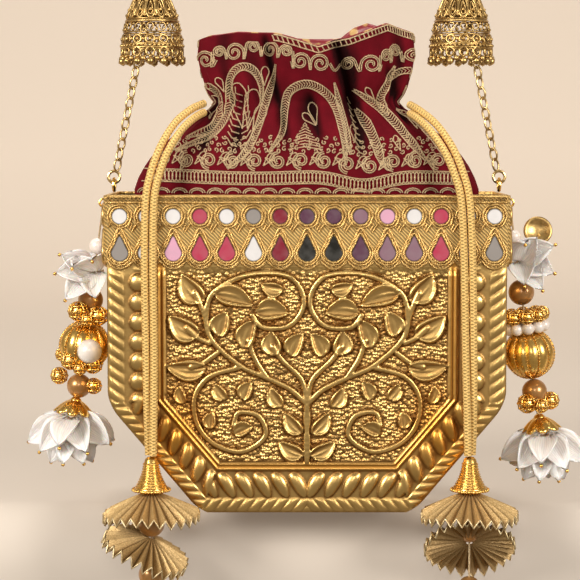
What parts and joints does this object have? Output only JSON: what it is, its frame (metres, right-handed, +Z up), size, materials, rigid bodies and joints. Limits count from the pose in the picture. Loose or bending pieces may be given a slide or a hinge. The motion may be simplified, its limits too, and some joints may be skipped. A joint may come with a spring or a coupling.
{
  "type": "potli bag",
  "caption": "Embossed gold box bag with a velvet drawstring pouch, mirror lace, bead tassels, side latkans and a chain handle.",
  "frame": {"origin": "highest point of the chain handle, where the bag hangs", "axes": "+Z up, -Y is the bag's front, +X to the right seen from the front"},
  "size_m": [0.2884, 0.0946, 0.4685],
  "materials": {
    "embossed_gold": "embossed, polished",
    "antique_gold": "antique",
    "bright_gold": "polished",
    "chain_gold": "polished",
    "maroon_velvet": "soft pile, gold cord embroidery",
    "satin_lining": "satin brocade",
    "black_felt": "matt",
    "mirror_lace": "woven, with mirrors",
    "gold_cord": "braided",
    "gold_tissue": "pleated",
    "bronze_pearl": "pearl",
    "white_pearl": "pearl",
    "shell_petal": "nacre",
    "thread": "matt"
  },
  "bodies": {
    "handle": {"handle_chain": "chain_gold", "chain_link_left": "chain_gold", "chain_link_right": "chain_gold"},
    "jhumka_left": {"jhumka_left_dome": "antique_gold", "jhumka_left_fringe": "antique_gold"},
    "tassel_left": {"tassel_left_cone": "bright_gold", "tassel_left_skirt_upper": "gold_tissue", "tassel_left_bead_upper": "bronze_pearl", "tassel_left_fan_middle": "gold_tissue", "tassel_left_bead_middle": "bronze_pearl", "tassel_left_fan_lower": "gold_tissue", "tassel_left_end_bead": "bright_gold", "tassel_left_thread": "thread"},
    "latkan_left": {"latkan_left_ring": "bright_gold", "latkan_left_cord": "thread", "latkan_left_top_bead": "white_pearl", "latkan_left_petals_upper": "shell_petal", "latkan_left_bead_upper": "bronze_pearl", "latkan_left_ball": "bright_gold", "latkan_left_bead_lower": "bronze_pearl", "latkan_left_cap": "bright_gold", "latkan_left_petals_lower": "shell_petal"},
    "jhumka_right": {"jhumka_right_dome": "antique_gold", "jhumka_right_fringe": "antique_gold"},
    "tassel_right": {"tassel_right_cone": "bright_gold", "tassel_right_skirt_upper": "gold_tissue", "tassel_right_bead_upper": "bronze_pearl", "tassel_right_fan_middle": "gold_tissue", "tassel_right_bead_middle": "bronze_pearl", "tassel_right_fan_lower": "gold_tissue", "tassel_right_end_bead": "bright_gold", "tassel_right_thread": "thread"},
    "latkan_right": {"latkan_right_ring": "bright_gold", "latkan_right_cord": "thread", "latkan_right_top_bead": "white_pearl", "latkan_right_petals_upper": "shell_petal", "latkan_right_bead_upper": "bronze_pearl", "latkan_right_ball": "bright_gold", "latkan_right_bead_lower": "bronze_pearl", "latkan_right_cap": "bright_gold", "latkan_right_petals_lower": "shell_petal"},
    "bag": {"box_front_plate": "embossed_gold", "box_back_plate": "embossed_gold", "box_side_band": "embossed_gold", "box_lining": "black_felt", "trim_front": "mirror_lace", "trim_back": "mirror_lace", "trim_left": "mirror_lace", "trim_right": "mirror_lace", "pouch_velvet": "maroon_velvet", "pouch_lining": "satin_lining", "drawstring_left_outer": "gold_cord", "drawstring_left_inner": "gold_cord", "drawstring_right_outer": "gold_cord", "drawstring_right_inner": "gold_cord", "side_eye_left": "bright_gold", "side_hook_left": "bright_gold", "side_eye_right": "bright_gold", "side_hook_right": "bright_gold"}
  },
  "joints": [
    {"name": "bag_tilt", "type": "hinge", "parent": "handle", "child": "bag", "pos_m": [0, 0, -0.2397], "axis": [1, 0, 0], "range_deg": [-75, 75]},
    {"name": "jhumka_left_swing", "type": "hinge", "parent": "handle", "child": "jhumka_left", "pos_m": [-0.07886, 0, -0.14], "axis": [0, 1, 0], "range_deg": [0, 22]},
    {"name": "latkan_left_swing", "type": "hinge", "parent": "bag", "child": "latkan_left", "pos_m": [-0.1044, 0, -0.2505], "axis": [0, 1, 0], "range_deg": [0, 60]},
    {"name": "tassel_left_swing", "type": "hinge", "parent": "bag", "child": "tassel_left", "pos_m": [-0.078, -0.0373, -0.3783], "axis": [0, 1, 0], "range_deg": [0, 20]},
    {"name": "jhumka_right_swing", "type": "hinge", "parent": "handle", "child": "jhumka_right", "pos_m": [0.07886, 0, -0.14], "axis": [0, -1, 0], "range_deg": [0, 22]},
    {"name": "latkan_right_swing", "type": "hinge", "parent": "bag", "child": "latkan_right", "pos_m": [0.1044, 0, -0.2505], "axis": [0, -1, 0], "range_deg": [0, 60]},
    {"name": "tassel_right_swing", "type": "hinge", "parent": "bag", "child": "tassel_right", "pos_m": [0.0815, -0.0373, -0.3783], "axis": [0, -1, 0], "range_deg": [0, 20]}
  ]
}
